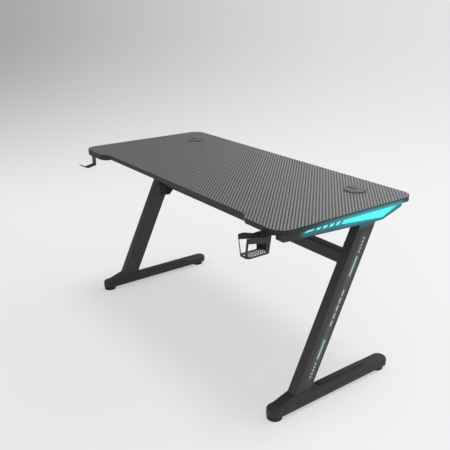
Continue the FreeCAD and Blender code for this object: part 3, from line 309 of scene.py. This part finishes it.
def coatFinish(name, colour, rubbedAndHighlit, peel, speck, edge, roughness, paintedGlow=None):
    wire, spot, finishWith = newFinish(name)
    orange = grain(wire, spot, peel, 2)
    dust = grain(wire, spot, speck, 2, coat["crisp"])
    cloud = grain(wire, spot, coat["cloud"], 3)
    soft = wire.node("ShaderNodeBevel", {"samples": coat["edgeSamples"]}, {"Radius": edge})
    facing = soft.along(wire.node("ShaderNodeNewGeometry", out="Normal"))
    # paler edges: partly wear, partly a painted highlight along the rounded edges
    wearAndEdgeHighlight = ((1 - facing) * coat["edgeGain"] * (dust * coat["edgeSpeck"] + coat["edgeEven"])).clip()
    plain = ((dust + cloud) / 2).between(shade(colour, coat["dark"]), shade(colour, coat["pale"]))
    normal = wire.node("ShaderNodeBump", None, {"Strength": coat["bump"], "Distance": coat["depth"],
                                                "Height": orange + dust * coat["speckHigh"], "Normal": soft})
    shine = roughness + (dust - 0.5) * coat["speckDull"] - wearAndEdgeHighlight * coat["rubShine"]
    extra = {"Emission_Color": paintedGlow(spot), "Emission_Strength": 1.0} if paintedGlow else {}
    return finishWith(Base_Color=wearAndEdgeHighlight.between(plain, rubbedAndHighlit), Roughness=shine,
                      Specular_IOR_Level=coat["specular"], Normal=normal, **extra)


# Powder coat of the steel parts; on the columns it is a paler copy, and carries a painted glow that stands
# in for light from their slots and from the bars above
powder = {"colour": (0.024, 0.024, 0.0232), "rubbedAndHighlit": grey(0.036), "peel": 900, "speck": 3800,
          "edge": 0.0022, "roughness": 0.55}
# colour: the columns' coat is painted paler than the feet's, as painted light
lean = {"angle": math.radians(25.2), "colour": (0.036, 0.036, 0.0345), "face": 0.002,
        "halo": (0.038, 0.039, 0.038), "haloWide": (0.004, 0.024), "haloEnd": (0.25, 0.32),
        "slotHalo": (0.036, 0.066, 0.062), "slotStart": (0.09, 0.14), "slotEnd": (0.19, 0.23),
        "barSpill": (0.02, 0.14, 0.17), "barZ": (0.634, 0.664)}
columnUp = (0, math.sin(lean["angle"]), math.cos(lean["angle"]))
columnAcross = (0, math.cos(lean["angle"]), -math.sin(lean["angle"]))
guideLow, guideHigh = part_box("column_diffuser_right")
columnMiddle = (0, *((guideLow + guideHigh) / 2)[1:])


def fromMiddle(spot):
    return spot.vector("SUBTRACT", columnMiddle)


# Painted glow on the columns' outer faces: a pale halo beside the lit guide, teal by the slots, and cyan
# spill from the bars at the top
def paintedColumnGlow(spot):
    x, _, z = spot.xyz()
    outer = x.size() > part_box("column_right")[1].x - lean["face"]
    place = fromMiddle(spot)
    up = place.along(columnUp).size()
    beside = 1 - place.along(columnAcross).size().fade(*lean["haloWide"])
    halo = beside * (1 - up.fade(*lean["haloEnd"])) * outer
    bySlot = up.fade(*lean["slotStart"]) * (1 - up.fade(*lean["slotEnd"]))
    paintedGlow = halo.between(black, bySlot.between(lean["halo"], lean["slotHalo"]))
    return (z.fade(*lean["barZ"]) * outer).between(paintedGlow, lean["barSpill"])


dress(coatFinish("powderCoat", **powder), "crossbeam", "cup_holder", "cup_holder_floor", "headphone_hook",
      *bothSides("foot", "support_arm"))
dress(coatFinish("columnCoat", **dict(powder, colour=lean["colour"]), paintedGlow=paintedColumnGlow), *bothSides("column"))

# Light housings and the worktop's edge band, with a painted cyan glow where the light of the windows would
# fall on them
housing = {"colour": (0.02, 0.021, 0.022), "rubbedAndHighlit": (0.045, 0.046, 0.048), "peel": 2200, "speck": 5200,
           "edge": 0.0015, "roughness": 0.48}
band = {"colour": (0.013, 0.013, 0.014), "rubbedAndHighlit": grey(0.03), "peel": 1600, "speck": 4200,
        "edge": 0.001, "roughness": 0.5}
# Places along the housing are shares of its run from front to back
spill = {"housing": (0.02, 0.22, 0.27), "band": (0.03, 0.36, 0.44), "face": 0.004,
         "noseDrop": 0.022, "tailDrop": 0.015, "lowFront": 0.768, "lowBack": 0.828, "rise": (-0.006, 0.014),
         "start": (0.13, 0.19), "brighter": (0.4, 0.55), "dimShare": 0.6,
         "bandStart": (0.095, 0.578), "bandEnd": (0.949, 1.035), "bandHigh": 0.018, "bandFade": (-0.15, 1.1)}
barLow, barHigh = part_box("light_housing_right")


def barRun(y):
    return (y - barLow.y) / (barHigh.y - barLow.y)


# Painted cyan glow on the housing's outer face, above the line of the windows and dimmer towards the front
def paintedHousingGlow(spot):
    x, y, z = spot.xyz()
    run = barRun(y)
    nose, tail = barHigh.z - spill["noseDrop"], barHigh.z - spill["tailDrop"]
    frontLine = nose - run * ((nose - barLow.z) / spill["lowFront"])
    backLine = (run - spill["lowBack"]) * ((tail - barLow.z) / (1 - spill["lowBack"])) + barLow.z
    near = (z - frontLine.above(backLine)).fade(*spill["rise"]) * run.fade(*spill["start"])
    strength = run.fade(*spill["brighter"]) * (1 - spill["dimShare"]) + spill["dimShare"]
    outer = x.size() > barHigh.x - spill["face"]
    return (near * strength * outer).between(black, spill["housing"])


# Painted cyan glow on the edge band's outer ends, along the bars and fading upwards
def paintedBandGlow(spot):
    x, y, z = spot.xyz()
    run = barRun(y)
    near = run.fade(*spill["bandStart"]) * (1 - run.fade(*spill["bandEnd"]))
    low = (1 - (z - barHigh.z) / spill["bandHigh"]).clip().fade(*spill["bandFade"])
    outer = x.size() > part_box("edge_band")[1].x - spill["face"]
    return (near * low * outer).between(black, spill["band"])


dress(coatFinish("housingPlastic", **housing, paintedGlow=paintedHousingGlow), *bothSides("light_housing"))
dress(coatFinish("edgeBand", **band, paintedGlow=paintedBandGlow), "edge_band")

# Other moulded plastics, rubber and black fasteners
cap = {"colour": (0.108, 0.108, 0.109), "rubbedAndHighlit": grey(0.11), "peel": 2600, "speck": 5200,
       "edge": 0.0007, "roughness": 0.45}
case = {"colour": (0.018, 0.018, 0.019), "rubbedAndHighlit": grey(0.04), "peel": 2400, "speck": 5200,
        "edge": 0.0008, "roughness": 0.5}
button = {"colour": (0.03, 0.03, 0.033), "rubbedAndHighlit": grey(0.06), "peel": 3000, "speck": 6000,
          "edge": 0.0006, "roughness": 0.25}
rubber = {"colour": grey(0.022), "rubbedAndHighlit": grey(0.04), "peel": 1200, "speck": 4200,
          "edge": 0.001, "roughness": 0.75}
oxide = {"colour": grey(0.022), "rubbedAndHighlit": grey(0.09), "peel": 2600, "speck": 6000,
         "edge": 0.0004, "roughness": 0.38}
inlay = {"colour": (0.027, 0.027, 0.026), "rubbedAndHighlit": grey(0.036), "peel": 1800, "speck": 4200,
         "edge": 0.0005, "roughness": 0.52}
dress(coatFinish("grommetPlastic", **cap), *bothSides("grommet_liner", "grommet_cap"))
dress(coatFinish("casePlastic", **case), "controller_case", "controller_cover")
dress(coatFinish("buttonPlastic", **button), "mode_button", "power_inlet")
dress(coatFinish("padRubber", **rubber), *bothSides("leveller_pad_front", "leveller_pad_back"))
oxideFinish = coatFinish("blackOxide", **oxide)
inlayFinish = coatFinish("ribbedInlay", **inlay)
print("coats and plastics done")

# Lit light guides, a little uneven along their length
# The columns have neutral dots and dashes and teal slots, the bars go from cyan to a dimmer tail
columnLight = {"dots": (0.43, 0.43, 0.42), "slots": (0.33, 0.48, 0.47), "slotRun": (0.115, 0.205)}
barLight = {"small": (0.16, 1.0, 1.0), "big": (0.085, 0.98, 0.94), "tail": (0.11, 0.66, 0.69),
            "bigStart": (0.44, 0.54), "tailStart": (0.87, 0.96)}
guide = {"sand": 3000, "dark": (0.016, 0.026, 0.026), "pale": (0.024, 0.036, 0.036), "patch": 9,
         "patchFade": (0.3, 0.6), "patchTone": (0.86, 0.9, 0.9), "roughness": 0.45, "sandDull": 0.1,
         "specular": 0.2, "depth": 0.00005, "bump": 0.3}


def lightFinish(name, tone):
    wire, spot, finishWith = newFinish(name)
    sand = grain(wire, spot, guide["sand"], 2)
    colour = tone(spot)
    patches = grain(wire, spot, guide["patch"], 2).fade(*guide["patchFade"])
    dim = wire.node("ShaderNodeMix", {"data_type": "RGBA", "blend_type": "MULTIPLY"},
                    {0: 1.0, 6: colour, 7: rgba(guide["patchTone"])}, 2)
    return finishWith(Base_Color=sand.between(guide["dark"], guide["pale"]),
                      Roughness=guide["roughness"] + (sand - 0.5) * guide["sandDull"],
                      Specular_IOR_Level=guide["specular"],
                      Emission_Color=patches.between(dim, colour), Emission_Strength=1.0,
                      Normal=bump(wire, sand, guide["depth"], guide["bump"]))


def columnTone(spot):
    up = fromMiddle(spot).along(columnUp).size()
    first, last = columnLight["slotRun"]
    return ((up > first) * (up < last)).between(columnLight["dots"], columnLight["slots"])


def barTone(spot):
    run = barRun(spot.xyz()[1])
    front = run.fade(*barLight["bigStart"]).between(barLight["small"], barLight["big"])
    return run.fade(*barLight["tailStart"]).between(front, barLight["tail"])


dress(lightFinish("columnDiffuser", columnTone), *bothSides("column_diffuser"))
dress(lightFinish("barDiffuser", barTone), *bothSides("bar_diffuser"))

# Tape of lights: white tape with yellow chips and copper cut marks
tape = {"pitch": 0.0167, "chip": 0.16, "cutEvery": 3, "cut": 0.03, "dust": 2600,
        "dull": (0.62, 0.63, 0.63), "white": (0.74, 0.75, 0.75), "yellow": (0.75, 0.62, 0.22),
        "copper": (0.55, 0.27, 0.1), "roughness": 0.4, "dustDull": 0.2, "dustHigh": 0.1, "depth": 0.0004,
        "bump": 0.5}


def tapeFinish(name, direction):
    wire, spot, finishWith = newFinish(name)
    run = spot.along(direction) / tape["pitch"]
    chips = (run.part() - 0.5).size() < tape["chip"]
    cuts = (run / tape["cutEvery"]).part() < tape["cut"]
    dust = grain(wire, spot, tape["dust"], 2)
    chipped = chips.between(dust.between(tape["dull"], tape["white"]), tape["yellow"])
    return finishWith(Base_Color=cuts.between(chipped, tape["copper"]),
                      Roughness=tape["roughness"] + dust * tape["dustDull"],
                      Normal=bump(wire, chips + dust * tape["dustHigh"], tape["depth"], tape["bump"]))


dress(tapeFinish("columnTape", columnUp), *bothSides("column_led_strip"))
dress(tapeFinish("barTape", (0, 1, 0)), *bothSides("bar_led_strip"))

# Core of the worktop: raw fibreboard at the cuts, a dark backing sheet below
core = {"fibre": (0.33, 0.235, 0.145), "dark": (0.22, 0.15, 0.09), "fibres": 900, "crisp": 0.65,
        "specks": 3600, "speckShare": 0.3, "fade": (0.3, 0.7), "backing": (0.02, 0.02, 0.021),
        "backingDark": 0.75, "backingPale": 1.3, "backingThick": 0.0004, "roughness": 0.8,
        "backingShine": 0.25, "speckDull": 0.1, "specular": 0.3, "speckHigh": 0.5, "depth": 0.00015,
        "bump": 0.5}


def coreFinish():
    wire, spot, finishWith = newFinish("fibreboardCore")
    fibres = grain(wire, spot, core["fibres"], 5, core["crisp"])
    specks = grain(wire, spot, core["specks"], 2)
    below = spot.xyz()[2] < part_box("desktop_board")[0].z + core["backingThick"]
    mixed = fibres * (1 - core["speckShare"]) + specks * core["speckShare"]
    raw = mixed.fade(*core["fade"]).between(core["dark"], core["fibre"])
    sheet = specks.between(shade(core["backing"], core["backingDark"]),
                           shade(core["backing"], core["backingPale"]))
    shine = core["roughness"] - below * core["backingShine"] + (specks - 0.5) * core["speckDull"]
    relief = fibres + specks * core["speckHigh"]
    return finishWith(Base_Color=below.between(raw, sheet), Roughness=shine,
                      Specular_IOR_Level=core["specular"],
                      Normal=bump(wire, relief, core["depth"], core["bump"]))


dress(coreFinish(), "desktop_board")

# Zinc plate on the levelling studs
zinc = {"dust": 1800, "cloud": 160, "cloudShare": 0.4, "fade": (0.3, 0.7), "dark": (0.28, 0.28, 0.29),
        "pale": (0.5, 0.5, 0.52), "roughness": 0.3, "dustDull": 0.2, "depth": 0.00006, "bump": 0.5}


def zincFinish():
    wire, spot, finishWith = newFinish("zincSteel")
    dust = grain(wire, spot, zinc["dust"], 3)
    cloud = grain(wire, spot, zinc["cloud"], 2)
    mixed = dust * (1 - zinc["cloudShare"]) + cloud * zinc["cloudShare"]
    return finishWith(Base_Color=mixed.fade(*zinc["fade"]).between(zinc["dark"], zinc["pale"]),
                      Metallic=1.0, Roughness=zinc["roughness"] + dust * zinc["dustDull"],
                      Normal=bump(wire, dust, zinc["depth"], zinc["bump"]))


# Circuit board: solder mask with a grid of broken tracks
circuit = {"lanes": {"pitch": 0.004, "wide": 0.2, "islands": 60, "least": 0.45},
           "crossings": {"pitch": 0.005, "wide": 0.16, "islands": 45, "least": 0.5},
           "mask": (0.012, 0.11, 0.045), "track": (0.03, 0.2, 0.08), "dust": 2200, "roughness": 0.3,
           "dustDull": 0.12, "dustHigh": 0.1, "depth": 0.00008, "bump": 0.6}


def boardFinish():
    wire, spot, finishWith = newFinish("solderMask")
    x, y, _ = spot.xyz()

    def tracksAlong(place, lines):
        islands = grain(wire, spot, lines["islands"], 1) > lines["least"]
        return ((place / lines["pitch"]).part() < lines["wide"]) * islands

    tracks = (tracksAlong(x, circuit["lanes"]) + tracksAlong(y, circuit["crossings"])).clip()
    dust = grain(wire, spot, circuit["dust"], 2)
    relief = tracks + dust * circuit["dustHigh"]
    return finishWith(Base_Color=tracks.between(circuit["mask"], circuit["track"]),
                      Roughness=circuit["roughness"] + dust * circuit["dustDull"],
                      Normal=bump(wire, relief, circuit["depth"], circuit["bump"]))


dress(boardFinish(), "circuit_board")
print("materials done")

# Modelling helpers: a deselected start, faces picked in code, copies, and the end of every new piece
craft = {"smooth": math.radians(32), "merge": 0.000005, "upright": 0.0001, "level": 0.9, "roundSteps": 5}


def deselectAll():
    bpy.ops.object.select_all(action="DESELECT")
    bpy.context.tool_settings.mesh_select_mode = (False, False, True)


def facesUp(face):
    return face.normal.z > craft["level"]


def facesDown(face):
    return face.normal.z < -craft["level"]


def pickFaces(piece, wanted):
    bpy.ops.object.mode_set(mode="OBJECT")
    for face in piece.data.polygons:
        face.select = wanted(face)
    bpy.ops.object.mode_set(mode="EDIT")
    bpy.ops.mesh.select_mode(type="FACE")


def copyOf(piece):
    twin = piece.copy()
    twin.data = piece.data.copy()
    scene.collection.objects.link(twin)
    return twin


def applyPlace():
    bpy.ops.object.transform_apply(location=True, rotation=True, scale=True)


def settle(piece, name, material, body, slot, *stood):
    bpy.ops.object.mode_set(mode="OBJECT")
    applyPlace()
    bpy.ops.object.shade_smooth_by_angle(angle=craft["smooth"])
    piece.name = name
    piece.data.materials.clear()
    piece.data.materials.append(material)
    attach(piece, body)
    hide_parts(*stood)


def roundUpright(piece, radius):
    for face in piece.data.polygons:
        face.select = False
    for vertex in piece.data.vertices:
        vertex.select = False
    for edge in piece.data.edges:
        first, second = [piece.data.vertices[index].co for index in edge.vertices]
        edge.select = abs(first.z - second.z) > craft["upright"]
    bpy.context.tool_settings.mesh_select_mode = (False, True, False)
    bpy.ops.object.mode_set(mode="EDIT")
    bpy.ops.mesh.bevel(offset=radius, segments=craft["roundSteps"])
    bpy.ops.object.mode_set(mode="OBJECT")


def mergeAll():
    bpy.ops.object.mode_set(mode="EDIT")
    bpy.ops.mesh.select_all(action="SELECT")
    bpy.ops.mesh.remove_doubles(threshold=craft["merge"])


# Screws with a cross recess and bolts with a six-sided socket, one master per set, set where the solids are
screw = {"head": 0.0026, "shank": 0.004, "drive": "cross"}
fasteners = {stem + "_screws": screw for stem in ("desktop", "housing", "cup_holder", "hook", "controller")}
fasteners["beam_bolts"] = {"head": 0.004, "shank": 0.006, "drive": "socket"}
fasteners["foot_bolts"] = {"head": 0.0053, "shank": 0.008, "drive": "socket"}
# Shares of the head's height and radius and of the shank; the arm is its reach at every 15 degrees
turned = {"sides": 24, "point": 0.15, "crown": 0.32, "crownSteps": 3, "land": 0.28, "deep": 0.6,
          "cross": 0.56, "narrow": 0.6, "arm": (1.0, 0.94, 0.46, 0.38, 0.46, 0.94), "socket": 0.42}


def findSolids(name):
    deselectAll()
    copy = copyOf(nodes[name])
    copy.select_set(True)
    bpy.context.view_layer.objects.active = copy
    mergeAll()
    bpy.ops.mesh.separate(type="LOOSE")
    bpy.ops.object.mode_set(mode="OBJECT")
    found = []
    for part in list(bpy.context.selected_objects):
        corners = [vertex.co.copy() for vertex in part.data.vertices]
        low = Vector([min(corner[axis] for corner in corners) for axis in range(3)])
        high = Vector([max(corner[axis] for corner in corners) for axis in range(3)])
        middle, size = (low + high) / 2, high - low
        axis = max(range(3), key=lambda index: size[index])
        others = [index for index in range(3) if index != axis]
        wide = max(corners, key=lambda corner: sum((corner[index] - middle[index]) ** 2 for index in others))
        headward = Vector([0, 0, 0])
        headward[axis] = 1 if wide[axis] > middle[axis] else -1
        found.append({"middle": middle, "headward": headward, "length": size[axis],
                      "radius": min(size[index] for index in others) / 2})
        bpy.data.objects.remove(part)
    return found


def recessReach(drive, radius, angle):
    if drive == "cross":
        step = round(math.degrees(angle) / (360 / turned["sides"]))
        return radius * turned["cross"] * turned["arm"][step % len(turned["arm"])]
    flat = math.pi / 3
    return radius * turned["socket"] / math.cos((angle + flat / 2) % flat - flat / 2)


def modelFastener(look, radius, length):
    deselectAll()
    bpy.ops.mesh.primitive_cylinder_add(vertices=turned["sides"], radius=radius, depth=look["head"],
                                        location=(0, 0, (length - look["head"]) / 2))
    made = bpy.context.object
    applyPlace()
    pickFaces(made, facesDown)
    bpy.ops.mesh.inset(thickness=radius - look["shank"] / 2)
    bpy.ops.mesh.extrude_region_move(TRANSFORM_OT_translate={"value": (0, 0, look["head"] - length)})
    bpy.ops.mesh.bevel(offset=look["shank"] * turned["point"], segments=1)
    pickFaces(made, facesUp)
    bpy.ops.mesh.bevel(offset=look["head"] * turned["crown"], segments=turned["crownSteps"])
    pickFaces(made, lambda face: facesUp(face) and len(face.vertices) > turned["sides"] / 2)
    bpy.ops.mesh.inset(thickness=radius * turned["land"])
    bpy.ops.object.mode_set(mode="OBJECT")
    mouth = next(face for face in made.data.polygons if face.select)
    for index in mouth.vertices:
        place = made.data.vertices[index].co
        angle = math.atan2(place.y, place.x)
        reach = recessReach(look["drive"], radius, angle)
        place.x, place.y = reach * math.cos(angle), reach * math.sin(angle)
    bpy.ops.object.mode_set(mode="EDIT")
    sink = (0, 0, -look["head"] * turned["deep"])
    bpy.ops.mesh.extrude_region_move(TRANSFORM_OT_translate={"value": sink})
    if look["drive"] == "cross":
        bpy.ops.transform.resize(value=(turned["narrow"], turned["narrow"], 1), center_override=(0, 0, 0))
    bpy.ops.object.mode_set(mode="OBJECT")
    return made


for name, look in fasteners.items():
    places = findSolids(name)
    master = modelFastener(look, places[0]["radius"], places[0]["length"])
    copies = [master] + [copyOf(master) for _ in places[1:]]
    deselectAll()
    for copy, place in zip(copies, places):
        copy.location = place["middle"]
        copy.rotation_euler = place["headward"].to_track_quat("Z", "Y").to_euler()
        copy.select_set(True)
    bpy.context.view_layer.objects.active = master
    bpy.ops.object.join()
    fullName = name.replace("screws", "cross_screws").replace("bolts", "socket_bolts")
    settle(master, fullName, oxideFinish, "desk", "black_steel", name)
print("fasteners driven")

# Levelling studs with a thread of crests and roots, modelled once and copied
thread = {"pitch": 0.00125, "depth": 0.0007, "sides": 28}
zincPlate = zincFinish()


def modelStud(low, high):
    radius = (high.x - low.x) / 2
    root = radius - thread["depth"]
    middle = (low + high) / 2
    turns = int((high.z - low.z) / thread["pitch"])
    rise = (0, 0, (high.z - low.z) / turns / 2)
    deselectAll()
    bpy.ops.mesh.primitive_circle_add(vertices=thread["sides"], radius=root, fill_type="NGON",
                                      location=(middle.x, middle.y, low.z))
    stud = bpy.context.object
    applyPlace()
    bpy.ops.object.mode_set(mode="EDIT")
    bpy.ops.mesh.select_all(action="SELECT")
    for half in range(turns * 2):
        grow = radius / root if half % 2 == 0 else root / radius
        bpy.ops.mesh.extrude_region_move(TRANSFORM_OT_translate={"value": rise})
        bpy.ops.transform.resize(value=(grow, grow, 1), center_override=(middle.x, middle.y, 0))
    mergeAll()
    bpy.ops.mesh.normals_make_consistent(inside=False)
    bpy.ops.object.mode_set(mode="OBJECT")
    return stud


firstStud = None
for name in ("front_left", "front_right", "back_left", "back_right"):
    low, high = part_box("leveller_stud_" + name)
    if firstStud is None:
        firstStud, firstLow = modelStud(low, high), low
        stud = firstStud
    else:
        deselectAll()
        stud = copyOf(firstStud)
        stud.parent = None
        stud.location = low - firstLow
        stud.select_set(True)
        bpy.context.view_layer.objects.active = stud
    settle(stud, "leveller_thread_" + name, zincPlate, "leveller_" + name, "steel", "leveller_stud_" + name)
print("studs threaded")

# Ribbed treads in the feet's grooves: a base plate with raised ribs along its length
tread = {"ribHigh": 0.0012, "ribWide": 0.0030, "ribSunk": 0.0004, "ribRound": 0.49, "ribEdge": 0.2,
         "pitch": 0.0042, "margin": 0.0012, "end": 0.0045, "corner": 0.0045, "edge": 0.0007, "edgeSteps": 2}


# A box with rounded upright corners and a bevelled top
def roundedBar(middle, size, corner, edge):
    deselectAll()
    bpy.ops.mesh.primitive_cube_add(size=1, location=middle, scale=size)
    bar = bpy.context.object
    applyPlace()
    roundUpright(bar, corner)
    pickFaces(bar, facesUp)
    bpy.ops.mesh.bevel(offset=edge, segments=tread["edgeSteps"])
    bpy.ops.object.mode_set(mode="OBJECT")
    return bar


def modelTread(low, high):
    size, middle = high - low, (low + high) / 2
    baseTop = high.z - tread["ribHigh"]
    base = roundedBar((middle.x, middle.y, (low.z + baseTop) / 2), (size.x, size.y, baseTop - low.z),
                      tread["corner"], tread["edge"])
    count = int((size.x - 2 * tread["margin"] - tread["ribWide"]) / tread["pitch"]) + 1
    start = middle.x - (count - 1) * tread["pitch"] / 2
    rib = roundedBar((start, middle.y, baseTop + (tread["ribHigh"] - tread["ribSunk"]) / 2),
                     (tread["ribWide"], size.y - 2 * tread["end"], tread["ribHigh"] + tread["ribSunk"]),
                     tread["ribWide"] * tread["ribRound"], tread["ribWide"] * tread["ribEdge"])
    row = rib.modifiers.new("row", "ARRAY")
    row.count = count
    row.use_relative_offset = False
    row.use_constant_offset = True
    row.constant_offset_displace = (tread["pitch"], 0, 0)
    bpy.ops.object.modifier_apply(modifier="row")
    base.select_set(True)
    bpy.context.view_layer.objects.active = base
    bpy.ops.object.join()
    return base


for side in ("left", "right"):
    made = modelTread(*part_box("foot_strip_" + side))
    settle(made, "foot_tread_" + side, inlayFinish, "desk", "strip_plastic", "foot_strip_" + side)
print("treads ribbed")
